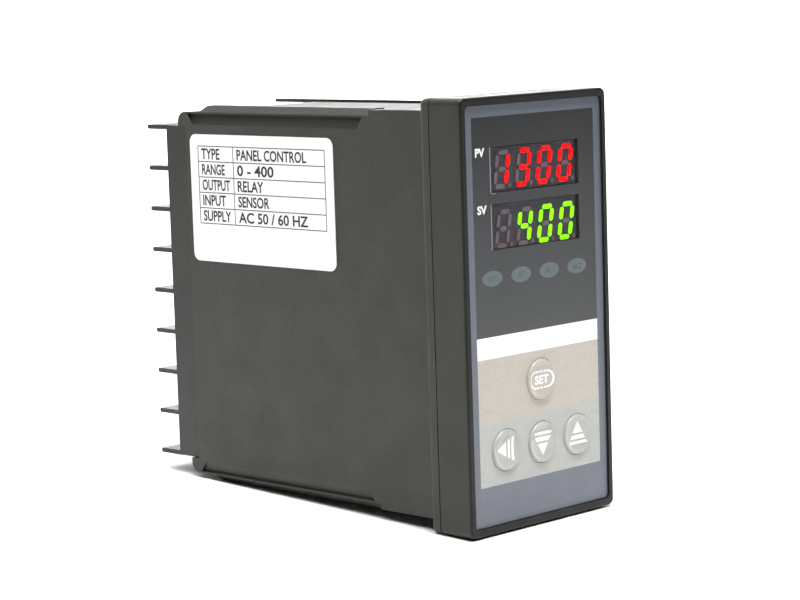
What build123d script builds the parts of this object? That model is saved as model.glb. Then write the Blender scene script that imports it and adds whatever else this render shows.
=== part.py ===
"""Panel-mount temperature controller with a 48 x 96 mm face and a draw-out chassis.

The frame's origin is the middle of the panel cut-out, in the plane of the panel's front face.
+X is to the right as the user reads the face, +Y runs back into the panel, +Z is up.
The housing (case and terminal block) stays in the panel. The chassis (bezel, displays and boards)
slides out of it to the front, towards -Y.
"""
from build123d import *
import os
from math import radians, tan

os.makedirs("parts", exist_ok=True)

# ---------------------------------------------------------------- driving dimensions, mm
# Face and case
FACE_W, FACE_H = 48.0, 96.0        # bezel and flange, the standard 1/8 DIN face
FACE_R = 1.6                       # corner radius of bezel and flange
FACE_Y = -12.2                     # front of the bezel
FLANGE_T = 2.7                     # case flange that bears on the panel
SEAM = 0.25                        # gap between the flange and the bezel
CASE_X = 22.2                      # half width of the case
MID_Z = 43.9                       # half height of the case between its rails
FRONT_Z = 45.1                     # half height of the thick section behind the flange
RAIL_Z = 45.35                     # half height over the left rails
LIP_Z = 44.5                       # half height over the right lips
LIP_W = 1.3                        # width of the right lips and hooks
FRONT_END = 17.5                   # rear end of the thick section
RAIL_END = 75.7                    # rear end of the rails
RAIL_W = 5.0                       # width of the left rails
CASE_END = 83.0                    # rear end of the case
SIDE_END = 80.3                    # rear edge of the case's side walls
BEVEL = 2.0                        # bevel along the long edges
CORNER_R = 2.5                     # rounding of the rear top and bottom corners
GROOVE_LOW, GROOVE_HIGH = 40.8, RAIL_Z - BEVEL
GROOVE_START, GROOVE_END = 19.5, 79.5
GROOVE_DEPTH = 0.8                 # at its deepest, along the edge next to the rail
GROOVE_WIDTH = 2.6                 # along its sloping floor
CAVITY_X, CAVITY_Z = 20.4, 42.6    # half size of the space for the chassis

# Terminal block
BLOCK_X, BLOCK_Z = 21.4, 40.45
BLOCK_END = 88.4                   # face of the block
FIN_TIP = 95.4                     # tips of the barrier fins, and the rear end of the object
FIN_T = 1.1
FIN_IN = 7.5                       # inner end of each fin
TERMINAL_PITCH = 10.0
TERMINALS_PER_COLUMN = 8
TERMINAL_X = 14.5                  # each column's distance from the middle
RIDGE_X = 6.0                      # half width of the middle ridge
POCKET_D = 1.5                     # depth of the seat of each terminal plate
PLATE_T = 0.8
WASHER_T = 0.6
SCREW_R = 1.45                     # M3 thread
SCREW_HOLE_R = 1.6

# Face furniture
FILM_Y = -11.6                     # front of the overlay film
FILM_T = 0.3
OPENING_W, OPENING_H = 44.9, 92.4  # recess that holds the film
WINDOW_X = 0.2                     # middle of both display windows
WINDOW_W, WINDOW_H = 28.8, 10.0
PV_Z, SV_Z = 31.95, 19.5           # middle of the upper and of the lower window
LAMP_XS = (-14.5, -5.2, 4.1, 13.4)
LAMP_Z = 8.4
LAMP_RX, LAMP_RZ = 3.2, 1.7
KEY_PLACES = {
    "set": (0.4, -15.7),
    "left": (-11.5, -29.9),
    "down": (0.4, -29.9),
    "up": (12.2, -29.9),
}
KEY_R = 4.6
KEY_GAP = 0.15
KEY_TRAVEL = 0.4

# Digits
DIGIT_PITCH = 6.92
DIGIT_SLANT = 10.0                 # degrees
DIGIT_X = 0.22                     # middle of each row of four digits
PV_DIGIT_Z, SV_DIGIT_Z = 31.9, 18.9
SEGMENT_T = 0.2
DISPLAY_FACE = -11.05
PV_SHOWS, SV_SHOWS = "1300", " 400"

# Chassis
PLATE_BACK = -9.5                  # back of the bezel's front plate
SKIRT_X, SKIRT_Z = 20.0, 42.2      # half size of the bezel's skirt, which guides in the case
SKIRT_END = 12.0
INSIDE_X, INSIDE_Z = 18.5, 40.7    # half size inside the skirt
BOARD_T = 1.6
DISPLAY_BOARD_Y = -3.0             # front of the display board
POST_X, POST_Z, POST_R = 16.2, 38.8, 2.0
BOARD_IN = 16.2                    # inner face of each long board
BOARD_START, BOARD_END = 0.3, 72.0
BOARD_Z = 39.2
RAIL_IN, RAIL_OUT = 38.1, 40.5     # the board rails, in height

PLATE_FRONT = FILM_Y + FILM_T
BEZEL_BACK = -FLANGE_T - SEAM


# ---------------------------------------------------------------- helpers
def facing(y):
    """A sketch plane at depth y that looks to the front, with x to the right and y up."""
    return Plane.XZ.offset(-y)


def block(low, high, mode=Mode.ADD):
    """The box between two corners, added to or cut from the part being built."""
    middle = tuple((a + b) / 2 for a, b in zip(low, high))
    with Locations(middle):
        Box(*[b - a for a, b in zip(low, high)], mode=mode)


def keep(piece, name):
    """Label a finished piece and write its STEP file."""
    piece.part.label = name
    export_step(piece.part, f"parts/{name}.step")


def terminal_places():
    """(x, z) of every terminal, with x negative in the left column."""
    first = -(TERMINALS_PER_COLUMN - 1) / 2
    heights = [(first + n) * TERMINAL_PITCH for n in range(TERMINALS_PER_COLUMN)]
    return [(side * TERMINAL_X, z) for side in (-1, 1) for z in heights]


def from_edge(x, distance):
    """The x that lies this distance outwards of x, on the side where x is."""
    return x + distance if x > 0 else x - distance


# ---------------------------------------------------------------- housing
with BuildPart() as flange:
    with BuildSketch(facing(0)):
        RectangleRounded(FACE_W, FACE_H, FACE_R)
    extrude(amount=FLANGE_T)
    fillet(flange.edges().group_by(Axis.Y)[-1], 1.0)

with BuildPart() as case:
    # the tube, from its side view with rounded rear corners
    with BuildSketch(Plane.YZ.offset(-CASE_X)) as side_view:
        with Locations((CASE_END / 2, 0)):
            Rectangle(CASE_END, 2 * MID_Z)
        fillet(side_view.vertices().group_by(Axis.X)[-1], CORNER_R)
    extrude(amount=2 * CASE_X)
    # the thick section behind the flange, with the bevels that its right edges keep
    block((-CASE_X, 0, -FRONT_Z), (CASE_X, FRONT_END, FRONT_Z))
    with BuildSketch(facing(FRONT_END)):
        for up in (-1, 1):
            Polygon(
                (CASE_X, up * (FRONT_Z - BEVEL)),
                (CASE_X - BEVEL, up * FRONT_Z),
                (CASE_X, up * FRONT_Z),
                align=None,
            )
    extrude(amount=FRONT_END, mode=Mode.SUBTRACT)
    # left rail and right lip above the tube, mirrored below it
    block((-CASE_X, FRONT_END, MID_Z - 1.0), (-CASE_X + RAIL_W, RAIL_END, RAIL_Z))
    with BuildSketch(facing(RAIL_END)):
        Polygon(
            (-CASE_X, RAIL_Z - BEVEL),
            (-CASE_X + BEVEL, RAIL_Z),
            (-CASE_X, RAIL_Z),
            align=None,
        )
    extrude(amount=RAIL_END - FRONT_END, mode=Mode.SUBTRACT)
    with BuildSketch(facing(FRONT_END)):
        Polygon(
            (-CASE_X, FRONT_Z - BEVEL),
            (-CASE_X + BEVEL, FRONT_Z),
            (-CASE_X, FRONT_Z),
            align=None,
        )
    extrude(amount=FRONT_END, mode=Mode.SUBTRACT)
    with BuildSketch(Plane.YZ.offset(-CASE_X)):
        Polygon(
            (RAIL_END - 1.7, RAIL_Z),
            (RAIL_END, MID_Z),
            (RAIL_END, RAIL_Z),
            align=None,
        )
    extrude(amount=RAIL_W, mode=Mode.SUBTRACT)
    block((CASE_X - LIP_W, 0, MID_Z - 0.5), (CASE_X, CASE_END - 0.6, LIP_Z))
    # hook for a terminal cover, in line with the lip
    block((CASE_X - LIP_W, CASE_END - 1.0, LIP_Z - 0.85), (CASE_X, FIN_TIP, LIP_Z))
    mirror(about=Plane.XY)
    add(flange.part)
    # wedge-shaped grooves along both sides, where a mounting bracket holds
    for side in (-1, 1):
        for up in (-1, 1):
            groove_floor = Plane(
                origin=(side * CASE_X, 0, up * GROOVE_LOW),
                x_dir=(0, 1, 0),
                z_dir=(side * (GROOVE_HIGH - GROOVE_LOW), 0, up * GROOVE_DEPTH),
            )
            with BuildSketch(groove_floor):
                Polygon(
                    (GROOVE_START + 2.0, 0),
                    (GROOVE_END - 2.0, 0),
                    (GROOVE_END, side * up * GROOVE_WIDTH),
                    (GROOVE_START, side * up * GROOVE_WIDTH),
                    align=None,
                )
            extrude(amount=1.5, mode=Mode.SUBTRACT)
    # latch slots in the two left bevels
    with Locations(Location((-20.78, 8.45, 44.78), (0, -45, 0)), Location((-20.78, 8.45, -44.78), (0, 45, 0))):
        Box(1.06, 13.1, 2.8, mode=Mode.SUBTRACT)
    # space for the chassis, and the opening that the terminal block closes
    block((-CAVITY_X, -FLANGE_T, -CAVITY_Z), (CAVITY_X, SIDE_END, CAVITY_Z), Mode.SUBTRACT)
    block((-CASE_X, SIDE_END, -BLOCK_Z - 0.05), (CASE_X, CASE_END, BLOCK_Z + 0.05), Mode.SUBTRACT)
    # pilot holes for the block screws
    with Locations(Location((0, SIDE_END, 42.3), (-90, 0, 0)), Location((0, SIDE_END, -42.3), (-90, 0, 0))):
        Cylinder(1.0, 3.0, align=(Align.CENTER, Align.CENTER, Align.MIN), mode=Mode.SUBTRACT)
keep(case, "case")

with BuildPart() as fin:
    block((FIN_IN, BLOCK_END - 1.0, -FIN_T / 2), (BLOCK_X, FIN_TIP, FIN_T / 2))
    fillet(fin.edges().filter_by(Axis.X).group_by(Axis.Y)[-1], 0.45 * FIN_T)

with BuildPart() as terminal_block:
    block((-BLOCK_X, SIDE_END, -BLOCK_Z), (BLOCK_X, BLOCK_END, BLOCK_Z))
    block((-CAVITY_X + 0.2, SIDE_END - 2.5, -39.6), (CAVITY_X - 0.2, SIDE_END, 39.6))
    block((-RIDGE_X, BLOCK_END, -BLOCK_Z), (RIDGE_X, BLOCK_END + 3.6, BLOCK_Z))
    fillet(terminal_block.edges().filter_by(Axis.Z).group_by(Axis.Y)[-1], 0.8)
    for up in (-1, 1):
        low_z, high_z = sorted((up * (BLOCK_Z - 1.0), up * 43.6))
        block((-6.0, CASE_END, low_z), (6.0, CASE_END + 2.4, high_z))
    for n in range(TERMINALS_PER_COLUMN + 1):
        height = (n - TERMINALS_PER_COLUMN / 2) * TERMINAL_PITCH
        add(fin.part.moved(Location((0, 0, height))))
        add(fin.part.mirror(Plane.YZ).moved(Location((0, 0, height))))
    for x, z in terminal_places():
        # seat of the terminal plate, hole for the screw, slot for the contact's leaf
        block((x - 4.9, BLOCK_END - POCKET_D, z - 4.1), (x + 4.9, BLOCK_END, z + 4.1), Mode.SUBTRACT)
        with Locations(Location((x, 82.0, z), (-90, 0, 0))):
            Cylinder(SCREW_HOLE_R, 6.0, align=(Align.CENTER, Align.CENTER, Align.MIN), mode=Mode.SUBTRACT)
        leaf_x = sorted((from_edge(x, 3.45), from_edge(x, 4.2)))
        block((leaf_x[0], 77.0, z - 1.4), (leaf_x[1], 87.0, z + 1.4), Mode.SUBTRACT)
    with Locations(Location((0, 82.0, 42.3), (-90, 0, 0)), Location((0, 82.0, -42.3), (-90, 0, 0))):
        Cylinder(1.4, 6.0, align=(Align.CENTER, Align.CENTER, Align.MIN), mode=Mode.SUBTRACT)
keep(terminal_block, "terminal_block")

SEAT_Y = BLOCK_END - POCKET_D
with BuildPart() as terminal_contacts:
    for x, z in terminal_places():
        block((x - 4.7, SEAT_Y, z - 3.9), (x + 4.7, SEAT_Y + PLATE_T, z + 3.9))
        leaf_x = sorted((from_edge(x, 3.65), from_edge(x, 4.0)))
        block((leaf_x[0], 64.0, z - 1.2), (leaf_x[1], SEAT_Y, z + 1.2))
        with Locations(Location((x, SEAT_Y - 1, z), (-90, 0, 0))):
            Cylinder(SCREW_HOLE_R, 4.0, align=(Align.CENTER, Align.CENTER, Align.MIN), mode=Mode.SUBTRACT)
keep(terminal_contacts, "terminal_contacts")

WASHER_Y = SEAT_Y + PLATE_T
with BuildPart() as clamp_washers:
    with BuildSketch(facing(WASHER_Y + WASHER_T)):
        with Locations(*terminal_places()):
            RectangleRounded(7.4, 7.4, 0.8)
            Circle(SCREW_HOLE_R, mode=Mode.SUBTRACT)
    extrude(amount=WASHER_T)
keep(clamp_washers, "clamp_washers")


def cross_head_screw(head_r, head_t, shank_r, length, drive_w):
    """A cross-head screw along Y: the head's seat is at y = 0, the shank runs to -length."""
    with BuildPart() as screw:
        with BuildSketch(facing(0)):
            Circle(head_r)
        extrude(amount=-head_t)
        fillet(screw.edges().group_by(Axis.Y)[-1], 0.35 * head_t)
        with BuildSketch(facing(0)):
            Circle(shank_r)
        extrude(amount=length)
        block((-0.6 * head_r, head_t / 2, -drive_w / 2), (0.6 * head_r, head_t, drive_w / 2), Mode.SUBTRACT)
        block((-drive_w / 2, head_t / 2, -0.6 * head_r), (drive_w / 2, head_t, 0.6 * head_r), Mode.SUBTRACT)
    return screw.part


HEAD_Y = WASHER_Y + WASHER_T
terminal_screw = cross_head_screw(2.9, 2.1, SCREW_R, 5.6, 0.75)
with BuildPart() as terminal_screws:
    for x, z in terminal_places():
        add(terminal_screw.moved(Location((x, HEAD_Y, z))))
keep(terminal_screws, "terminal_screws")

block_screw = cross_head_screw(1.25, 0.9, 0.9, 4.6, 0.5)
with BuildPart() as block_screws:
    for z in (-42.3, 42.3):
        add(block_screw.moved(Location((0, CASE_END + 2.4, z))))
keep(block_screws, "block_screws")

with BuildPart() as rating_label:
    with BuildSketch(Plane.YZ.offset(-CASE_X)):
        with Locations((54.0, 23.45)):
            RectangleRounded(49.4, 30.3, 2.0)
    extrude(amount=-0.15)
keep(rating_label, "rating_label")

# ---------------------------------------------------------------- bezel and face
with BuildPart() as bezel:
    with BuildSketch(facing(BEZEL_BACK)):
        RectangleRounded(FACE_W, FACE_H, FACE_R)
    extrude(amount=BEZEL_BACK - FACE_Y)
    fillet(bezel.edges().group_by(Axis.Y)[0], 0.6)
    block((-SKIRT_X, BEZEL_BACK, -SKIRT_Z), (SKIRT_X, SKIRT_END, SKIRT_Z))
    # recess for the film
    with BuildSketch(facing(PLATE_FRONT)):
        RectangleRounded(OPENING_W, OPENING_H, 1.2)
    extrude(amount=PLATE_FRONT - FACE_Y, mode=Mode.SUBTRACT)
    block((-INSIDE_X, PLATE_BACK, -INSIDE_Z), (INSIDE_X, SKIRT_END, INSIDE_Z), Mode.SUBTRACT)
    # openings for the displays and the indicator lamps
    with BuildSketch(facing(PLATE_BACK)):
        with Locations((WINDOW_X, PV_Z), (WINDOW_X, SV_Z)):
            Rectangle(WINDOW_W - 0.4, WINDOW_H - 0.2)
        with Locations(*[(x, LAMP_Z) for x in LAMP_XS]):
            Ellipse(LAMP_RX - 0.3, LAMP_RZ - 0.2)
        with Locations(*KEY_PLACES.values()):
            Circle(2.1)
    extrude(amount=PLATE_BACK - PLATE_FRONT, mode=Mode.SUBTRACT)
    # room behind each key top
    with BuildSketch(facing(PLATE_FRONT + 0.8)):
        with Locations(*KEY_PLACES.values()):
            Circle(KEY_R + 0.5)
    extrude(amount=0.8, mode=Mode.SUBTRACT)
    # posts for the display board
    with BuildSketch(facing(DISPLAY_BOARD_Y)):
        with Locations((POST_X, POST_Z), (-POST_X, POST_Z), (POST_X, -POST_Z), (-POST_X, -POST_Z)):
            Circle(POST_R)
    extrude(amount=DISPLAY_BOARD_Y - PLATE_BACK)
    with BuildSketch(facing(DISPLAY_BOARD_Y)):
        with Locations((POST_X, POST_Z), (-POST_X, POST_Z), (POST_X, -POST_Z), (-POST_X, -POST_Z)):
            Circle(0.9)
    extrude(amount=5.0, mode=Mode.SUBTRACT)
keep(bezel, "bezel")

with BuildPart() as overlay_film:
    with BuildSketch(facing(PLATE_FRONT)):
        RectangleRounded(OPENING_W - 0.2, OPENING_H - 0.2, 1.1)
        with Locations((WINDOW_X, PV_Z), (WINDOW_X, SV_Z)):
            Rectangle(WINDOW_W, WINDOW_H, mode=Mode.SUBTRACT)
        with Locations(*[(x, LAMP_Z) for x in LAMP_XS]):
            Ellipse(LAMP_RX, LAMP_RZ, mode=Mode.SUBTRACT)
        with Locations(*KEY_PLACES.values()):
            Circle(KEY_R + KEY_GAP, mode=Mode.SUBTRACT)
    extrude(amount=FILM_T)
keep(overlay_film, "overlay_film")

with BuildPart() as display_windows:
    with BuildSketch(facing(PLATE_FRONT)):
        with Locations((WINDOW_X, PV_Z), (WINDOW_X, SV_Z)):
            Rectangle(WINDOW_W, WINDOW_H)
    extrude(amount=FILM_T - 0.05)
keep(display_windows, "display_windows")

with BuildPart() as indicator_windows:
    with BuildSketch(facing(PLATE_FRONT)):
        with Locations(*[(x, LAMP_Z) for x in LAMP_XS]):
            Ellipse(LAMP_RX, LAMP_RZ)
    extrude(amount=FILM_T)
keep(indicator_windows, "indicator_windows")

# ---------------------------------------------------------------- displays
# each segment of a digit: its middle before the slant, its half length, and whether it stands upright
SEGMENTS = {
    "a": (0.0, 3.68, 1.55, False),
    "b": (1.78, 1.76, 1.45, True),
    "c": (1.78, -1.76, 1.45, True),
    "d": (0.0, -3.68, 1.55, False),
    "e": (-1.78, -1.76, 1.45, True),
    "f": (-1.78, 1.76, 1.45, True),
    "g": (0.0, 0.0, 1.2, False),
}
LIT = {" ": "", "0": "abcdef", "1": "bc", "3": "abcdg", "4": "bcfg"}
SEGMENT_W, SEGMENT_POINT = 0.51, 0.45


def segment_points(name, x, z):
    """The slanted six-sided outline of one segment of the digit whose middle is (x, z)."""
    mid_x, mid_z, end, upright = SEGMENTS[name]
    shoulder = end - SEGMENT_POINT
    flat = [
        (-end, 0), (-shoulder, SEGMENT_W), (shoulder, SEGMENT_W),
        (end, 0), (shoulder, -SEGMENT_W), (-shoulder, -SEGMENT_W),
    ]
    turned = [(b, a) if upright else (a, b) for a, b in flat]
    slope = tan(radians(DIGIT_SLANT))
    placed = [(mid_x + a, mid_z + b) for a, b in turned]
    return [(x + a + slope * b, z + b) for a, b in placed]


def digit_row(text, z, lit):
    """The lit or the unlit segments of one row of digits. The unlit ones include the points."""
    with BuildPart() as row:
        for n, shown in enumerate(text):
            x = DIGIT_X + (n - (len(text) - 1) / 2) * DIGIT_PITCH
            for name in SEGMENTS:
                if (name in LIT[shown]) == lit:
                    with BuildSketch(facing(DISPLAY_FACE)) as outline:
                        Polygon(*segment_points(name, x, z), align=None)
                        fillet(outline.vertices(), 0.22)
                    extrude(amount=SEGMENT_T)
            if not lit:
                with BuildSketch(facing(DISPLAY_FACE)):
                    with Locations((x + 2.45, z - 3.6)):
                        Circle(0.48)
                extrude(amount=SEGMENT_T)
    return row


def display_body(window_z):
    """The moulded body of one four-digit display, which stands on the display board."""
    with BuildPart() as body:
        with Locations((WINDOW_X, (DISPLAY_FACE + DISPLAY_BOARD_Y) / 2, window_z)):
            Box(WINDOW_W - 0.8, DISPLAY_BOARD_Y - DISPLAY_FACE, WINDOW_H - 0.4)
    return body


for row_name, window_z, digit_z, text in (
    ("pv", PV_Z, PV_DIGIT_Z, PV_SHOWS),
    ("sv", SV_Z, SV_DIGIT_Z, SV_SHOWS),
):
    keep(display_body(window_z), f"{row_name}_display")
    keep(digit_row(text, digit_z, True), f"{row_name}_lit_segments")
    keep(digit_row(text, digit_z, False), f"{row_name}_unlit_segments")

with BuildPart() as indicator_leds:
    for x in LAMP_XS:
        with Locations(Location((x, DISPLAY_BOARD_Y, LAMP_Z), (90, 0, 0))):
            Cylinder(1.45, 4.0, align=(Align.CENTER, Align.CENTER, Align.MIN))
        with Locations((x, DISPLAY_BOARD_Y - 4.0, LAMP_Z)):
            Sphere(1.45)
keep(indicator_leds, "indicator_leds")

with BuildPart() as display_board:
    with BuildSketch(facing(DISPLAY_BOARD_Y + BOARD_T)):
        Rectangle(36.4, 80.8)
        with Locations((POST_X, POST_Z), (-POST_X, POST_Z), (POST_X, -POST_Z), (-POST_X, -POST_Z)):
            Circle(1.2, mode=Mode.SUBTRACT)
    extrude(amount=BOARD_T)
keep(display_board, "display_board")

board_screw = cross_head_screw(1.75, 1.1, 0.85, 5.5, 0.5)
with BuildPart() as board_screws:
    for x in (-POST_X, POST_X):
        for z in (-POST_Z, POST_Z):
            add(board_screw.moved(Location((x, DISPLAY_BOARD_Y + BOARD_T, z))))
keep(board_screws, "display_board_screws")

# ---------------------------------------------------------------- keys and their switches
SWITCH_TOP = DISPLAY_BOARD_Y - 3.5
with BuildPart() as tact_switches:
    with BuildSketch(facing(DISPLAY_BOARD_Y)):
        with Locations(*KEY_PLACES.values()):
            RectangleRounded(6.0, 6.0, 0.4)
    extrude(amount=3.5)
    with BuildSketch(facing(SWITCH_TOP + 1.3)):
        with Locations(*KEY_PLACES.values()):
            Circle(1.85)
    extrude(amount=1.3, mode=Mode.SUBTRACT)
keep(tact_switches, "tact_switches")

KEY_SKIRT = PLATE_FRONT + 0.1
for key_name, (x, z) in KEY_PLACES.items():
    # a dished top inside a raised rim, on a skirt that lies behind the film
    with BuildPart() as key_top:
        with BuildSketch(Plane.XY) as half:
            with BuildLine():
                Polyline(
                    (0, KEY_SKIRT + 0.15),
                    (KEY_R + 0.3, KEY_SKIRT + 0.15),
                    (KEY_R + 0.3, KEY_SKIRT),
                    (KEY_R, KEY_SKIRT),
                    (KEY_R, FILM_Y - 0.1),
                    (KEY_R - 0.25, FILM_Y - 0.46),
                    (KEY_R - 0.7, FILM_Y - 0.6),
                    (KEY_R / 2, FILM_Y - 0.42),
                    (0, FILM_Y - 0.16),
                    close=True,
                )
            make_face()
        revolve(axis=Axis.Y)
    key_top.part.locate(Location((x, 0, z)))
    keep(key_top, f"{key_name}_key")
    with BuildPart() as key_stem:
        with BuildSketch(facing(SWITCH_TOP + 0.6)):
            with Locations((x, z)):
                Circle(1.6)
        extrude(amount=SWITCH_TOP + 0.6 - (KEY_SKIRT + 0.15))
    keep(key_stem, f"{key_name}_key_stem")

# ---------------------------------------------------------------- boards and their rails
for rail_name, up in (("upper_board_rail", 1), ("lower_board_rail", -1)):
    with BuildPart() as board_rail:
        block((-18.3, BOARD_START, RAIL_IN), (18.3, BOARD_END, RAIL_OUT))
        block((-10.0, 2.0, RAIL_OUT), (10.0, 10.0, INSIDE_Z))
        block((-11.0, 14.0, RAIL_IN), (11.0, 62.0, RAIL_OUT), Mode.SUBTRACT)
        for side in (-1, 1):
            low_x, high_x = sorted((side * (BOARD_IN - 0.1), side * (BOARD_IN + BOARD_T + 0.1)))
            block((low_x, BOARD_START, RAIL_IN), (high_x, BOARD_END, BOARD_Z + 0.1), Mode.SUBTRACT)
        if up < 0:
            mirror(about=Plane.XY, mode=Mode.REPLACE)
    keep(board_rail, rail_name)

for board_name, side in (("control_board", -1), ("power_board", 1)):
    with BuildPart() as long_board:
        low_x, high_x = sorted((side * BOARD_IN, side * (BOARD_IN + BOARD_T)))
        block((low_x, BOARD_START, -BOARD_Z), (high_x, BOARD_END, BOARD_Z))
    keep(long_board, board_name)

PAD_T = 0.1
with BuildPart() as contact_pads:
    for x, z in terminal_places():
        side = 1 if x > 0 else -1
        with Locations((side * (BOARD_IN + BOARD_T + PAD_T / 2), 67.0, z)):
            Box(PAD_T, 8.0, 3.4)
keep(contact_pads, "contact_pads")

with BuildPart() as board_headers:
    for side in (-1, 1):
        low_x, high_x = sorted((side * BOARD_IN, side * (BOARD_IN - 2.6)))
        block((low_x, DISPLAY_BOARD_Y + BOARD_T, -14.0), (high_x, 3.6, 14.0))
keep(board_headers, "board_headers")

with BuildPart() as rear_spacer:
    block((-BOARD_IN, 67.5, -9.0), (BOARD_IN, 70.5, 9.0))
    block((-BOARD_IN + 3.0, 67.5, -6.0), (BOARD_IN - 3.0, 70.5, 6.0), Mode.SUBTRACT)
keep(rear_spacer, "rear_spacer")

# ---------------------------------------------------------------- parts on the power board
POWER_FACE = BOARD_IN              # they stand on this face and reach towards -X


def standing_can(radius, height, y, z, mode=Mode.ADD):
    """A round can that stands on the power board."""
    with Locations(Location((POWER_FACE, y, z), (0, -90, 0))):
        Cylinder(radius, height, align=(Align.CENTER, Align.CENTER, Align.MIN), mode=mode)


CORE_Y, CORE_Z = 23.0, -21.0
with BuildPart() as transformer_core:
    with Locations((6.0, CORE_Y, CORE_Z)):
        Box(11.0, 26.0, 28.0)
    with Locations((6.0, CORE_Y - 6.5, CORE_Z), (6.0, CORE_Y + 6.5, CORE_Z)):
        Box(11.0, 4.6, 19.6, mode=Mode.SUBTRACT)
keep(transformer_core, "transformer_core")

with BuildPart() as transformer_winding:
    with Locations(((POWER_FACE - 4.0) / 2, CORE_Y, CORE_Z)):
        Box(POWER_FACE + 4.0, 17.4, 19.2)
    with Locations((6.0, CORE_Y, CORE_Z)):
        Box(11.0, 8.4, 19.2, mode=Mode.SUBTRACT)
    fillet(transformer_winding.edges().filter_by(Axis.Z).group_by(Axis.X)[0], 2.0)
keep(transformer_winding, "transformer_winding")

with BuildPart() as output_relays:
    for z in (14.0, 26.5):
        block((0.9, 42.0, z - 5.1), (POWER_FACE, 62.0, z + 5.1))
    fillet(output_relays.edges().group_by(Axis.X)[0], 0.6)
keep(output_relays, "output_relays")

with BuildPart() as electrolytic_capacitors:
    for radius, height, y, z in ((5.0, 17.0, 13.0, 8.0), (5.0, 17.0, 25.0, 8.0), (3.2, 11.5, 13.0, 20.0)):
        standing_can(radius, height, y, z)
    fillet(electrolytic_capacitors.edges().filter_by(GeomType.CIRCLE).group_by(Axis.X)[:2][0], 0.5)
keep(electrolytic_capacitors, "electrolytic_capacitors")

with BuildPart() as bridge_rectifier:
    block((POWER_FACE - 3.6, 42.0, -34.0), (POWER_FACE, 50.5, -27.6))
keep(bridge_rectifier, "bridge_rectifier")

with BuildPart() as varistor:
    with Locations(Location((POWER_FACE - 5.2, 56.0, -30.8), (-90, 0, 0))):
        Cylinder(5.2, 3.8)
keep(varistor, "varistor")

with BuildPart() as heat_sink:
    block((2.0, 42.0, -18.0), (POWER_FACE, 44.0, 2.0))
    for n in range(5):
        rib_z = -18.0 + n * 4.6
        block((2.0, 44.0, rib_z), (POWER_FACE, 50.0, rib_z + 1.6))
keep(heat_sink, "heat_sink")

with BuildPart() as voltage_regulator:
    block((6.0, 39.0, -13.0), (POWER_FACE, 42.0, -3.0))
keep(voltage_regulator, "voltage_regulator")

# ---------------------------------------------------------------- parts on the control board
CONTROL_FACE = -BOARD_IN           # they stand on this face and reach towards +X


def flat_chip(height, length_y, length_z, y, z):
    """A flat chip that lies on the control board."""
    with Locations((CONTROL_FACE + height / 2, y, z)):
        Box(height, length_y, length_z)


with BuildPart() as microcontroller:
    flat_chip(1.6, 12.0, 12.0, 26.0, 4.0)
    chamfer(microcontroller.edges().group_by(Axis.X)[-1], 0.3)
keep(microcontroller, "microcontroller")

with BuildPart() as small_chips:
    for length_y, length_z, y, z in (
        (10.0, 4.0, 26.0, 20.0), (5.0, 4.0, 44.0, 20.0), (5.0, 4.0, 44.0, 10.0),
        (10.0, 4.0, 44.0, -8.0), (5.0, 4.0, 26.0, -14.0), (10.0, 7.5, 54.0, -24.0),
    ):
        flat_chip(1.75, length_y, length_z, y, z)
keep(small_chips, "small_chips")

with BuildPart() as crystal:
    flat_chip(3.5, 10.5, 4.5, 12.0, 4.0)
    fillet(crystal.edges().filter_by(Axis.X), 2.0)
keep(crystal, "crystal")

with BuildPart() as chip_parts:
    for row_z in (-30.0, -24.0, 14.5, 26.0, 32.0):
        for n in range(9):
            flat_chip(0.6, 1.25, 2.0, 10.0 + 4.0 * n, row_z)
keep(chip_parts, "chip_parts")

with BuildPart() as isolators:
    for z in (-34.0, 34.0):
        for y in (50.0, 62.0):
            flat_chip(3.8, 6.6, 4.6, y, z)
keep(isolators, "isolators")
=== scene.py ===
"""Looks of the panel-mount temperature controller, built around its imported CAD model.

Everything is in metres in the CAD's frame: the origin is the middle of the panel cut-out, +X is to the
right of the face, +Y runs back into the panel and +Z is up.
"""
from math import cos, pi, radians, sin

import bmesh
import bpy
from mathutils import Matrix, Vector


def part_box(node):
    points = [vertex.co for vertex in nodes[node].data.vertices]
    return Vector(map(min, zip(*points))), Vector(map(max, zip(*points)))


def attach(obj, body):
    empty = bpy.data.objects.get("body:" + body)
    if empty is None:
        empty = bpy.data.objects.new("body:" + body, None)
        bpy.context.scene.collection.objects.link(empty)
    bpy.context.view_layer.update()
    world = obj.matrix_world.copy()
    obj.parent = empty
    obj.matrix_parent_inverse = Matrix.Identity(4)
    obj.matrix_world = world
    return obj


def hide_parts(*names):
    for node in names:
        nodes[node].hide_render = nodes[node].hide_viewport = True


MM = 0.001
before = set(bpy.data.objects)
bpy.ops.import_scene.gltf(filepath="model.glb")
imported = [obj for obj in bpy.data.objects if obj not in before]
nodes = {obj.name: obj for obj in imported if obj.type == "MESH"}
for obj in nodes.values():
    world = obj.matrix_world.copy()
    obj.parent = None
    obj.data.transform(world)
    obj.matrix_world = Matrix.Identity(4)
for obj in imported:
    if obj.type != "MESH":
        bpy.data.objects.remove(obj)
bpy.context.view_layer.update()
scene = bpy.context.scene

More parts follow.
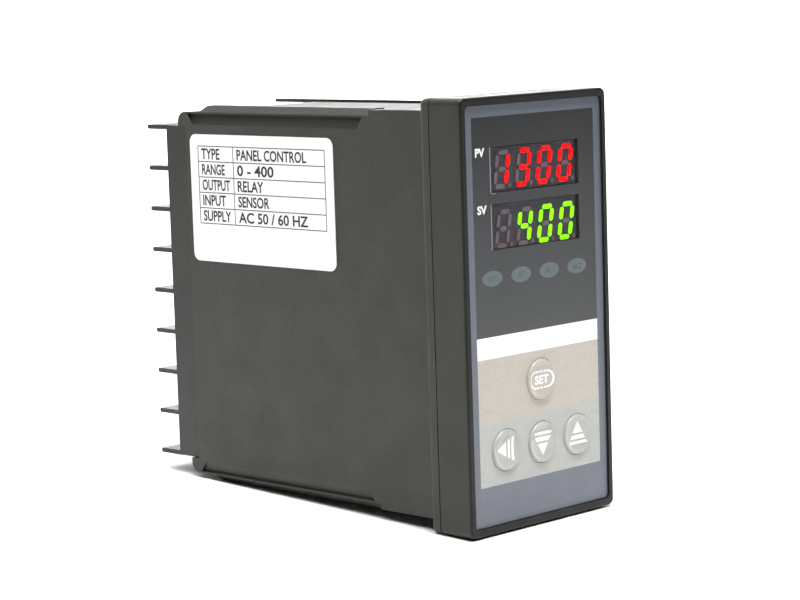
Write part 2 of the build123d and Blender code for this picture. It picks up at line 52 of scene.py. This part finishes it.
# The face: overlay film and what is printed on it, mm
FILM_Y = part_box("overlay_film")[0].y / MM
PRINT_T = 0.03                     # thickness of printing
PANEL_X = 20.0                     # half width of the bands between the side margins
EDGE = 0.04                        # half width of the blend where two prints meet
FACE_HALF = 45                     # half height over which the margins change colour
BANDS = (                          # the lowest height of each printed band, and its colour
    (-60.0, (0.152, 0.166, 0.200)),
    (-37.3, (0.438, 0.444, 0.415)),
    (-23.0, (0.474, 0.438, 0.385)),
    (-9.1, (0.93, 0.93, 0.92)),
    (-4.35, (0.046, 0.048, 0.050)),
    (43.6, (0.085, 0.100, 0.125)),
)
FOOT_BAND, DARK_BAND, TOP_BAND = BANDS[0], BANDS[-2], BANDS[-1]


# ---------------------------------------------------------------- node helpers
class Look:
    """A material and short calls that add nodes to it."""

    def __init__(self, name, roughness=0.5, metallic=0.0, specular=0.5):
        self.material = bpy.data.materials.new(name)
        self.material.use_nodes = True
        self.tree = self.material.node_tree
        self.shader = self.tree.nodes["Principled BSDF"]
        self.set("Roughness", roughness)
        self.set("Metallic", metallic)
        self.set("Specular IOR Level", specular)

    def set(self, socket, value):
        self.shader.inputs[socket].default_value = value

    def link(self, source, target):
        self.tree.links.new(source, target)

    def node(self, kind, **settings):
        made = self.tree.nodes.new(kind)
        for key, value in settings.items():
            setattr(made, key, value)
        return made

    def place(self, scale=(1, 1, 1)):
        """The position in the object's own frame, in metres."""
        here = self.node("ShaderNodeTexCoord").outputs["Object"]
        if scale == (1, 1, 1):
            return here
        mapping = self.node("ShaderNodeMapping")
        mapping.inputs["Scale"].default_value = scale
        self.link(here, mapping.inputs["Vector"])
        return mapping.outputs["Vector"]

    def noise(self, size_mm, detail=2.0, stretch=(1, 1, 1)):
        made = self.node("ShaderNodeTexNoise")
        made.inputs["Scale"].default_value = 1000.0 / size_mm
        made.inputs["Detail"].default_value = detail
        self.link(self.place(stretch), made.inputs["Vector"])
        return made.outputs["Fac"]

    def ramp(self, source, stops):
        made = self.node("ShaderNodeValToRGB")
        ramp = made.color_ramp
        while len(ramp.elements) < len(stops):
            ramp.elements.new(0.5)
        for element, (position, colour) in zip(ramp.elements, stops):
            element.position = position
            element.color = (*colour, 1) if len(colour) == 3 else colour
        self.link(source, made.inputs["Fac"])
        return made.outputs["Color"]

    def spread(self, source, low, high, start=0.3, end=0.7):
        """A number that runs from low to high as the source runs from start to end."""
        made = self.node("ShaderNodeMapRange")
        for socket, value in (("From Min", start), ("From Max", end), ("To Min", low), ("To Max", high)):
            made.inputs[socket].default_value = value
        self.link(source, made.inputs["Value"])
        return made.outputs["Result"]

    def mix(self, factor, first, second, kind="MIX"):
        made = self.node("ShaderNodeMix", data_type="RGBA", blend_type=kind)
        for value, name in ((factor, "Factor"), (first, "A"), (second, "B")):
            socket = made.inputs[name]
            if isinstance(value, (int, float)):
                socket.default_value = value
            elif isinstance(value, tuple):
                socket.default_value = (*value, 1)
            else:
                self.link(value, socket)
        return made.outputs["Result"]

    def bump(self, height, distance_mm, strength=1.0, after=None):
        made = self.node("ShaderNodeBump")
        made.inputs["Strength"].default_value = strength
        made.inputs["Distance"].default_value = distance_mm * MM
        self.link(height, made.inputs["Height"])
        if after is not None:
            self.link(after, made.inputs["Normal"])
        self.link(made.outputs["Normal"], self.shader.inputs["Normal"])
        return made.outputs["Normal"]


def speckled(name, colour, grain_mm, grain_depth_mm, roughness, specular=0.5, contrast=0.12, mottle_mm=14.0):
    """Moulded plastic: a fine spark texture, faint mottling, and roughness that varies with it."""
    look = Look(name, roughness, specular=specular)
    low = tuple(c * (1 - contrast) for c in colour)
    high = tuple(c * (1 + contrast) for c in colour)
    mottled = look.ramp(look.noise(mottle_mm, 3.0), ((0.3, low), (0.7, high)))
    grain = look.noise(grain_mm, 2.0)
    fleck = look.ramp(grain, ((0.35, (0.86, 0.86, 0.86)), (0.7, (1.14, 1.14, 1.14))))
    look.link(look.mix(1.0, mottled, fleck, "MULTIPLY"), look.shader.inputs["Base Color"])
    polish = look.spread(look.noise(mottle_mm * 0.6), roughness - 0.05, roughness + 0.06)
    look.link(polish, look.shader.inputs["Roughness"])
    look.bump(grain, grain_depth_mm, 0.6)
    return look


def painted_front_shade(look, level, share):
    """Painted shade: deepens the colour in front of y = level, in mm, for the weaker reflection of the front
    face.
    """
    colour = look.shader.inputs["Base Color"].links[0].from_socket
    axes = look.node("ShaderNodeSeparateXYZ")
    look.link(look.place(), axes.inputs["Vector"])
    front = look.spread(axes.outputs["Y"], 1.0, 0.0, (level - 0.1) * MM, (level + 0.1) * MM)
    shaded_front = look.mix(1.0, colour, (share, share, share), "MULTIPLY")
    look.link(look.mix(front, colour, shaded_front), look.shader.inputs["Base Color"])


def printed_film(name, roughness=0.42):
    """The overlay's printing: colour bands by height, the blue-grey margin at both sides, and painted shade on
    the dark band.
    """
    look = Look(name, roughness, specular=0.5)
    axes = look.node("ShaderNodeSeparateXYZ")
    look.link(look.place(), axes.inputs["Vector"])
    # painted shade: the dark band runs from its own colour at its foot to almost black at the top band
    painted_shade = look.ramp(
        look.spread(axes.outputs["Z"], 0.0, 1.0, DARK_BAND[0] * MM, TOP_BAND[0] * MM),
        ((0.0, (1.0, 1.0, 1.0)), (0.6, (0.50, 0.53, 0.56)), (1.0, (0.06, 0.07, 0.08))),
    )
    colour = None
    for height, band in BANDS:
        # the dark band takes the painted shade
        if height == DARK_BAND[0]:
            band = look.mix(1.0, band, painted_shade, "MULTIPLY")
        if colour is None:
            colour = look.mix(0.0, band, band)
            continue
        above = look.spread(axes.outputs["Z"], 0.0, 1.0, (height - EDGE) * MM, (height + EDGE) * MM)
        colour = look.mix(above, colour, band)
    across = look.node("ShaderNodeMath", operation="ABSOLUTE")
    look.link(axes.outputs["X"], across.inputs[0])
    margin = look.spread(across.outputs["Value"], 0.0, 1.0, (PANEL_X - EDGE) * MM, (PANEL_X + EDGE) * MM)
    rise = look.spread(axes.outputs["Z"], 0.0, 1.0, -FACE_HALF * MM, FACE_HALF * MM)
    margin_colour = look.mix(rise, FOOT_BAND[1], TOP_BAND[1])
    colour = look.mix(margin, colour, margin_colour)
    pores = look.noise(0.28, 2.0)
    shade = look.ramp(pores, ((0.3, (0.92, 0.92, 0.92)), (0.7, (1.07, 1.07, 1.07))))
    brushed = look.noise(6.0, 4.0, (1, 1, 3))
    cloud = look.ramp(brushed, ((0.3, (0.965, 0.965, 0.965)), (0.7, (1.03, 1.03, 1.03))))
    colour = look.mix(1.0, colour, shade, "MULTIPLY")
    look.link(look.mix(1.0, colour, cloud, "MULTIPLY"), look.shader.inputs["Base Color"])
    polish = look.spread(look.noise(7.0), roughness - 0.04, roughness + 0.05)
    look.link(polish, look.shader.inputs["Roughness"])
    look.bump(pores, 0.008, 0.6)
    return look


def ink(name, colour, roughness=0.5):
    """Screen-printed ink, slightly uneven."""
    look = Look(name, roughness)
    uneven = look.ramp(look.noise(0.35, 2.0), ((0.3, tuple(0.93 * c for c in colour)), (0.7, colour)))
    look.link(uneven, look.shader.inputs["Base Color"])
    look.bump(look.noise(0.2), 0.004, 0.4)
    return look


def glow(name, colour, strength):
    """A lit LED segment, with a faint diffuser grain."""
    look = Look(name, 0.6, specular=0.1)
    grain = look.ramp(look.noise(0.5, 1.0), ((0.3, tuple(0.93 * c for c in colour)), (0.7, colour)))
    look.link(grain, look.shader.inputs["Base Color"])
    look.link(grain, look.shader.inputs["Emission Color"])
    look.set("Emission Strength", strength)
    return look


def metal(name, colour, roughness, streak_mm=0.4, stretch=(1, 12, 1)):
    """Plated or rolled metal, with fine streaks and slightly uneven polish."""
    look = Look(name, roughness, metallic=1.0)
    streaks = look.noise(streak_mm, 2.0, stretch)
    dull = tuple(0.86 * c for c in colour)
    look.link(look.ramp(streaks, ((0.3, dull), (0.7, colour))), look.shader.inputs["Base Color"])
    look.link(look.spread(streaks, roughness - 0.07, roughness + 0.1), look.shader.inputs["Roughness"])
    look.bump(streaks, 0.01, 0.35)
    return look


case_look = speckled("case_plastic", (0.021, 0.0215, 0.015), 0.45, 0.12, 0.50, contrast=0.05)
block_look = speckled("block_plastic", (0.011, 0.0115, 0.008), 0.6, 0.03, 0.46)
bezel_look = speckled("bezel_plastic", (0.026, 0.027, 0.019), 0.5, 0.03, 0.42, specular=0.35)
# painted shade on the bezel's front face, in place of a weaker reflection there
painted_front_shade(bezel_look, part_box("bezel")[0].y / MM + 0.35, 0.08)
film_look = printed_film("overlay_print")
dome_look = printed_film("key_print", 0.28)
white_ink = ink("white_ink", (0.9, 0.9, 0.9))
black_ink = ink("black_ink", (0.018, 0.018, 0.02))
faint_ink = ink("faint_ink", (0.065, 0.075, 0.075))
# painted highlight along the display windows' edges
window_highlight_look = ink("painted_window_highlight", (0.20, 0.205, 0.21))
label_look = ink("label_paper", (0.93, 0.93, 0.93), 0.45)
lamp_look = ink("indicator_film", (0.100, 0.126, 0.128), 0.4)
red_look = glow("segment_red", (1.0, 0.0, 0.0), 1.5)
green_look = glow("segment_green", (0.22, 1.0, 0.0), 1.3)
unlit_look = ink("segment_unlit", (0.13, 0.10, 0.11))
display_look = ink("display_face", (0.022, 0.017, 0.026), 0.35)
board_look = ink("circuit_board", (0.02, 0.13, 0.05), 0.3)
pad_look = metal("gold_pad", (0.83, 0.62, 0.25), 0.3)
contact_look = metal("contact_metal", (0.75, 0.68, 0.5), 0.32)
screw_look = metal("screw_metal", (0.72, 0.72, 0.7), 0.3)
steel_look = metal("core_steel", (0.24, 0.24, 0.26), 0.42, 0.35, (30, 1, 1))
can_look = metal("crystal_can", (0.65, 0.65, 0.66), 0.28)
sink_look = metal("heat_sink_aluminium", (0.62, 0.62, 0.64), 0.36)
rail_look = speckled("rail_plastic", (0.42, 0.42, 0.39), 0.7, 0.02, 0.5)
switch_look = speckled("switch_plastic", (0.02, 0.02, 0.02), 0.6, 0.02, 0.45)
chip_look = speckled("chip_black", (0.016, 0.016, 0.017), 0.3, 0.02, 0.6)
opto_look = speckled("chip_white", (0.7, 0.7, 0.66), 0.4, 0.02, 0.5)
ceramic_look = speckled("chip_ceramic", (0.34, 0.26, 0.19), 0.5, 0.01, 0.5)
winding_look = ink("winding", (0.62, 0.42, 0.08), 0.35)
relay_look = speckled("relay_plastic", (0.02, 0.07, 0.26), 0.8, 0.01, 0.3)
sleeve_look = ink("capacitor_sleeve", (0.012, 0.02, 0.07), 0.25)
varistor_look = ink("varistor_epoxy", (0.015, 0.09, 0.4), 0.3)
led_look = ink("led_epoxy", (0.45, 0.05, 0.03), 0.2)

window_look = Look("display_window", 0.12, specular=0.25)
window_look.link(
    window_look.ramp(window_look.noise(6.0), ((0.3, (0.030, 0.022, 0.034)), (0.7, (0.034, 0.026, 0.038)))),
    window_look.shader.inputs["Base Color"],
)
window_look.set("Alpha", 0.07)

WEARS = {
    "case": case_look, "terminal_block": block_look, "terminal_contacts": contact_look,
    "clamp_washers": screw_look, "terminal_screws": screw_look, "block_screws": screw_look,
    "rating_label": label_look, "bezel": bezel_look, "overlay_film": film_look,
    "display_windows": window_look, "indicator_windows": lamp_look,
    "pv_display": display_look, "sv_display": display_look,
    "pv_lit_segments": red_look, "sv_lit_segments": green_look,
    "pv_unlit_segments": unlit_look, "sv_unlit_segments": unlit_look,
    "indicator_leds": led_look, "display_board": board_look, "control_board": board_look,
    "power_board": board_look, "display_board_screws": screw_look, "tact_switches": switch_look,
    "upper_board_rail": rail_look, "lower_board_rail": rail_look, "contact_pads": pad_look,
    "board_headers": switch_look, "rear_spacer": rail_look, "transformer_core": steel_look,
    "transformer_winding": winding_look, "output_relays": relay_look,
    "electrolytic_capacitors": sleeve_look, "bridge_rectifier": chip_look, "varistor": varistor_look,
    "heat_sink": sink_look, "voltage_regulator": chip_look, "microcontroller": chip_look,
    "small_chips": chip_look, "crystal": can_look, "chip_parts": ceramic_look, "isolators": opto_look,
}
KEYS = ("set", "left", "down", "up")
for key in KEYS:
    WEARS[f"{key}_key"] = film_look
    WEARS[f"{key}_key_stem"] = rail_look
for name, look in WEARS.items():
    slots = nodes[name].data.materials
    slots.clear()
    slots.append(look.material)


# ---------------------------------------------------------------- mesh helpers
def piece(name, mesh, look, body, smooth=False):
    """A new visual piece that moves with a body of the frame."""
    made = bpy.data.objects.new(name, mesh)
    scene.collection.objects.link(made)
    mesh.materials.append(look.material)
    if smooth:
        mesh.shade_smooth()
    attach(made, body)
    return made


def lathe(profile, centre, steps=96):
    """A mesh turned about the line along Y through centre, from (radius, y) pairs in mm."""
    mesh = bpy.data.meshes.new("turned")
    shape = bmesh.new()
    rings = []
    for radius, y in profile:
        if radius == 0:
            rings.append([shape.verts.new((centre[0] * MM, y * MM, centre[1] * MM))])
            continue
        turns = (2 * pi * n / steps for n in range(steps))
        rings.append([
            shape.verts.new(((centre[0] + radius * cos(t)) * MM, y * MM, (centre[1] + radius * sin(t)) * MM))
            for t in turns
        ])
    for inner, outer in zip(rings, rings[1:]):
        for n in range(steps):
            m = (n + 1) % steps
            if len(inner) == 1:
                shape.faces.new((inner[0], outer[n], outer[m]))
            elif len(outer) == 1:
                shape.faces.new((inner[n], inner[m], outer[0]))
            else:
                shape.faces.new((inner[n], inner[m], outer[m], outer[n]))
    bmesh.ops.recalc_face_normals(shape, faces=shape.faces)
    shape.to_mesh(mesh)
    shape.free()
    return mesh


def plates(outlines, level, thick, side=False):
    """Thin flat plates from outlines in mm: (x, z) on the face at y = level, or (y, z) on the left side."""
    mesh = bpy.data.meshes.new("plates")
    shape = bmesh.new()
    for outline in outlines:
        layers = []
        for depth in (level, level - thick):
            layers.append([
                shape.verts.new((depth * MM, a * MM, b * MM) if side else (a * MM, depth * MM, b * MM))
                for a, b in outline
            ])
        back, front = layers
        shape.faces.new(back)
        shape.faces.new(front)
        for n in range(len(outline)):
            m = (n + 1) % len(outline)
            shape.faces.new((back[n], back[m], front[m], front[n]))
    bmesh.ops.recalc_face_normals(shape, faces=shape.faces)
    shape.to_mesh(mesh)
    shape.free()
    return mesh


def bar(a0, b0, a1, b1):
    """The outline of a rectangle between two opposite corners."""
    return ((a0, b0), (a1, b0), (a1, b1), (a0, b1))


def lettering(text, height, width, corner, level, side=False, bold=0.0):
    """A word as a thin mesh, in mm: its lower left corner is at corner on the face (x, z).

    On the left side, which is read from the rear to the front, corner is (y, z) of its lower right.
    """
    curve = bpy.data.curves.new("word", "FONT")
    curve.body = text
    curve.offset = bold
    curve.extrude = 0.5
    curve.resolution_u = 3
    word = bpy.data.objects.new("word", curve)
    scene.collection.objects.link(word)
    bpy.context.view_layer.update()
    mesh = bpy.data.meshes.new_from_object(word)
    bpy.data.objects.remove(word)
    xs = [v.co.x for v in mesh.vertices]
    ys = [v.co.y for v in mesh.vertices]
    for vertex in mesh.vertices:
        a = corner[0] + (vertex.co.x - min(xs)) / (max(xs) - min(xs)) * width
        b = corner[1] + (vertex.co.y - min(ys)) / (max(ys) - min(ys)) * height
        depth = level - PRINT_T * (vertex.co.z + 0.5)
        if side:
            vertex.co = (depth * MM, (2 * corner[0] + width - a) * MM, b * MM)
        else:
            vertex.co = (a * MM, depth * MM, b * MM)
    return mesh


# ---------------------------------------------------------------- keys
KEY_HEIGHTS = (                    # radius, and height above the film
    (0, 0.0), (2.3, 0.01), (2.8, 0.03), (3.2, 0.09), (3.6, 0.21), (3.9, 0.38), (4.08, 0.50), (4.22, 0.545),
    (4.34, 0.53), (4.44, 0.45), (4.53, 0.30), (4.60, 0.11), (4.63, 0.0), (4.64, -0.04), (4.64, -0.3), (0, -0.3),
)
profile = [(radius, FILM_Y - height) for radius, height in KEY_HEIGHTS]
for key in KEYS:
    low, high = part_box(f"{key}_key")
    centre = ((low.x + high.x) / 2 / MM, (low.z + high.z) / 2 / MM)
    dome = piece(f"{key}_dome", lathe(profile, centre), dome_look, f"{key}_button", True)
    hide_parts(f"{key}_key")

ICON_Y = FILM_Y - 0.005


def key_height(radius):
    """The height of a key top above the film at a distance from its middle."""
    for (r0, h0), (r1, h1) in zip(KEY_HEIGHTS, KEY_HEIGHTS[1:]):
        if radius <= r1:
            return h0 + (h1 - h0) * (radius - r0) / (r1 - r0)
    return 0.0


def on_key(mesh, key):
    """Lays a thin printed mesh on a key's curved top."""
    low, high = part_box(f"{key}_key")
    middle = (low + high) / 2
    shape = bmesh.new()
    shape.from_mesh(mesh)
    bmesh.ops.triangulate(shape, faces=shape.faces)
    for _ in range(2):
        long_edges = [e for e in shape.edges if e.calc_length() > 0.5 * MM]
        bmesh.ops.subdivide_edges(shape, edges=long_edges, cuts=1)
        bmesh.ops.triangulate(shape, faces=shape.faces)
    for vertex in shape.verts:
        radius = Vector((vertex.co.x - middle.x, vertex.co.z - middle.z)).length / MM
        vertex.co.y -= key_height(radius) * MM
    shape.to_mesh(mesh)
    shape.free()
    return mesh


def arc(cx, cz, radius, start, end, steps=14):
    """Points along an arc, from start to end in degrees."""
    turns = (radians(start + (end - start) * n / steps) for n in range(steps + 1))
    return [(cx + radius * cos(t), cz + radius * sin(t)) for t in turns]


def ribbon(path_out, path_in):
    """The outline between two paths that run the same way."""
    return tuple(path_out) + tuple(reversed(path_in))


# a round-ended outline about the word SET: an arc at each end, and dashes above and below
SET_X, SET_Z = 0.5, -15.8
ARC_OUT, ARC_IN = 2.05, 1.6
set_marks = []
for cx, start in ((SET_X - 1.9, 90), (SET_X + 1.9, -90)):
    outer, inner = (arc(cx, SET_Z, radius, start, start + 180) for radius in (ARC_OUT, ARC_IN))
    set_marks.append(ribbon(outer, inner))
for n in range(3):
    left = SET_X - 1.8 + n * 1.3
    for z in (SET_Z + ARC_IN, SET_Z - ARC_OUT):
        set_marks.append(bar(left, z, left + 1.0, z + 0.42))
piece("set_mark", on_key(plates(set_marks, ICON_Y, PRINT_T), "set"), white_ink, "set_button")
mesh = lettering("SET", 2.0, 4.6, (SET_X - 2.2, SET_Z - 1.0), ICON_Y, bold=0.035)
piece("set_word", on_key(mesh, "set"), white_ink, "set_button")

# arrows with stripes on the other three keys
left_marks = [
    ((-14.6, -29.75), (-11.65, -31.45), (-11.65, -28.05)),
    ((-11.1, -31.7), (-10.45, -32.05), (-10.45, -27.45), (-11.1, -27.8)),
    ((-9.95, -32.25), (-9.2, -32.6), (-9.2, -26.9), (-9.95, -27.25)),
]
piece("left_arrow", on_key(plates(left_marks, ICON_Y, PRINT_T), "left"), white_ink, "left_button")
down_marks = [
    ((-2.6, -27.5), (3.5, -27.5), (3.15, -28.2), (-2.25, -28.2)),
    ((-2.15, -28.7), (3.1, -28.7), (2.5, -29.7), (-1.6, -29.7)),
    ((-1.3, -30.2), (2.25, -30.2), (0.47, -32.9)),
]
piece("down_arrow", on_key(plates(down_marks, ICON_Y, PRINT_T), "down"), white_ink, "down_button")
up_marks = [
    ((9.2, -32.15), (15.3, -32.15), (14.95, -31.5), (9.55, -31.5)),
    ((9.7, -31.0), (14.85, -31.0), (14.25, -30.1), (10.3, -30.1)),
    ((10.6, -29.6), (13.95, -29.6), (12.3, -26.7)),
]
piece("up_arrow", on_key(plates(up_marks, ICON_Y, PRINT_T), "up"), white_ink, "up_button")

# ---------------------------------------------------------------- printing on the face
piece("pv_word", lettering("PV", 1.9, 2.9, (-19.0, 35.03), FILM_Y, bold=0.035), white_ink, "chassis")
piece("sv_word", lettering("SV", 1.9, 2.95, (-18.75, 22.6), FILM_Y, bold=0.035), white_ink, "chassis")

# painted highlight: light strips left of both windows and at the upper window's lower left corner, where the
# edges catch light
WINDOW_H, HIGHLIGHT_W = 10, 0.32
low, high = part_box("display_windows")
left, foot_z, top_z = (v / MM for v in (low.x, low.z, high.z))
edges = [
    bar(left - HIGHLIGHT_W, foot_z, left, foot_z + WINDOW_H), bar(left - HIGHLIGHT_W, top_z - WINDOW_H, left, top_z),
    bar(left, top_z - WINDOW_H - 0.2, left + 1.4, top_z - WINDOW_H),
]
piece("window_edge_highlights", plates(edges, FILM_Y, PRINT_T), window_highlight_look, "chassis")

LAMP_R, LAMP_PITCH = 3.2, 9.3
low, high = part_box("indicator_windows")
lamp_z = (low.z + high.z) / 2 / MM
for n, word in enumerate(("OUT", "AT", "AL1", "AL2")):
    x = low.x / MM + LAMP_R + n * LAMP_PITCH
    width = 0.95 * len(word)
    mesh = lettering(word, 1.3, width, (x - width / 2, lamp_z - 0.65), FILM_Y)
    piece(f"indicator_word_{n + 1}", mesh, faint_ink, "chassis")

# ---------------------------------------------------------------- rating label
LABEL_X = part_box("rating_label")[0].x / MM
# the table: the label is read from the rear to the front, so its left side is the one at the rear
TABLE_FRONT, SPLIT, TABLE_REAR = 32.0, 63.3, 75.8
TABLE_FOOT, TABLE_TOP = 17.4, 35.8
RULE = 0.1                         # half thickness of a rule
ROWS = (
    ("TYPE", "PANEL CONTROL"), ("RANGE", "0 - 400"), ("OUTPUT", "RELAY"), ("INPUT", "SENSOR"),
    ("SUPPLY", "AC 50 / 60 HZ"),
)
ROW = (TABLE_TOP - TABLE_FOOT) / len(ROWS)
levels = [TABLE_FOOT + n * ROW for n in range(len(ROWS) + 1)]
rules = [bar(TABLE_FRONT, z - RULE, TABLE_REAR, z + RULE) for z in levels]
rules += [bar(y - RULE, TABLE_FOOT, y + RULE, TABLE_TOP) for y in (TABLE_FRONT, SPLIT, TABLE_REAR)]
piece("label_rules", plates(rules, LABEL_X, PRINT_T, side=True), black_ink, "housing")
for n, words in enumerate(ROWS):
    z = TABLE_TOP - (n + 1) * ROW + 0.55
    # where each column's words start, and the width that a letter takes in it
    for m, (word, left, pitch) in enumerate(zip(words, (TABLE_REAR - 1.2, SPLIT - 1.3), (1.7, 1.86))):
        width = pitch * len(word) - 0.3
        mesh = lettering(word, 2.6, width, (left - width, z), LABEL_X, side=True, bold=0.02)
        piece(f"label_word_{n + 1}_{m + 1}", mesh, black_ink, "housing")

# ---------------------------------------------------------------- floor, light and camera
FLANGE_FOOT = (-1.0, -48.0)        # (y, z) of the flange's lower rear corner, which the object stands on
RAIL_FOOT = (74.0, -45.35)         # (y, z) of the rear end of the rails below
CLEARANCE = 0.02                   # mm, between the object and the floor
slope = (RAIL_FOOT[1] - FLANGE_FOOT[1]) / (RAIL_FOOT[0] - FLANGE_FOOT[0])
lean = Matrix.Rotation(slope, 4, "X")
foot = Vector((0, FLANGE_FOOT[0] * MM, (FLANGE_FOOT[1] - CLEARANCE) * MM))
ground = Matrix.Translation(foot) @ lean


def sheet(name, corners, look, matrix):
    """A flat four-sided piece of the studio."""
    mesh = bpy.data.meshes.new(name)
    mesh.from_pydata(corners, [], [(0, 1, 2, 3)])
    mesh.materials.append(look.material)
    made = bpy.data.objects.new(name, mesh)
    scene.collection.objects.link(made)
    made.matrix_world = matrix


def softbox(name, place, target, size, power):
    """A rectangular light that shines from place towards target."""
    data = bpy.data.lights.new(name, "AREA")
    data.shape = "RECTANGLE"
    data.size, data.size_y = size
    data.energy = power
    made = bpy.data.objects.new(name, data)
    scene.collection.objects.link(made)
    made.location = place
    made.rotation_euler = (Vector(target) - Vector(place)).to_track_quat("-Z", "Y").to_euler()


floor_look = Look("floor_paper", 0.85, specular=0.2)
floor_look.link(
    floor_look.ramp(floor_look.noise(60.0), ((0.3, (0.90, 0.90, 0.90)), (0.7, (0.91, 0.91, 0.91)))),
    floor_look.shader.inputs["Base Color"],
)
# the floor glows far from the object, so that it stays pale where the lights don't reach
away = floor_look.node("ShaderNodeVectorMath", operation="LENGTH")
floor_look.link(floor_look.place(), away.inputs[0])
glowing = floor_look.spread(away.outputs["Value"], 0.0, 0.9, 0.5, 1.4)
floor_look.link(glowing, floor_look.shader.inputs["Emission Strength"])
floor_look.set("Emission Color", (0.95, 0.95, 0.95, 1))
FAR = 30                           # metres, from the middle of the floor to its edges
sheet("floor", [(-FAR, -FAR, 0), (FAR, -FAR, 0), (FAR, FAR, 0), (-FAR, FAR, 0)], floor_look, ground)

world = bpy.data.worlds.new("studio")
scene.world = world
world.use_nodes = True
world.node_tree.nodes["Background"].inputs["Color"].default_value = (1, 1, 1, 1)
world.node_tree.nodes["Background"].inputs["Strength"].default_value = 0.02

softbox("top_light", (-0.05, 0.05, 0.75), (-0.05, 0.05, 0), (1.0, 1.0), 12.6)
softbox("key_light", (-0.06, -0.24, 0.8), (0.0, -0.01, 0), (0.12, 0.12), 5.5)

# a bright backdrop behind the object
backdrop_look = Look("backdrop", 0.9, specular=0.1)
backdrop_look.link(
    backdrop_look.ramp(backdrop_look.noise(300.0), ((0.3, (0.97, 0.97, 0.97)), (0.7, (1, 1, 1)))),
    backdrop_look.shader.inputs["Base Color"],
)
backdrop_look.set("Emission Color", (1, 1, 1, 1))
backdrop_look.set("Emission Strength", 3.2)
WIDE, FOOT, TOP = 2.2, -0.2, 1.0   # the backdrop's half width, and the heights of its edges, in metres
behind = Matrix.Translation((0.95, 0.95, 0)) @ Matrix.Rotation(radians(-45), 4, "Z")
sheet("backdrop", [(-WIDE, 0, FOOT), (WIDE, 0, FOOT), (WIDE, 0, TOP), (-WIDE, 0, TOP)], backdrop_look, behind)

# the camera, in front of the object's left side and a little above it
camera_data = bpy.data.cameras.new("camera")
camera_data.sensor_width = 36.0
camera_data.lens = 112.64
camera_data.clip_start = 0.01
camera = bpy.data.objects.new("camera", camera_data)
scene.collection.objects.link(camera)
right = Vector((0.70501, -0.70849, -0.03173))
upward = Vector((0.11137, 0.06641, 0.99156))
ahead = Vector((0.70040, 0.70259, -0.12572))
eye = Vector((-0.41034, -0.37997, 0.07286))
camera.matrix_world = Matrix((
    (right.x, upward.x, -ahead.x, eye.x),
    (right.y, upward.y, -ahead.y, eye.y),
    (right.z, upward.z, -ahead.z, eye.z),
    (0, 0, 0, 1),
))
scene.camera = camera
scene.view_settings.view_transform = "Standard"
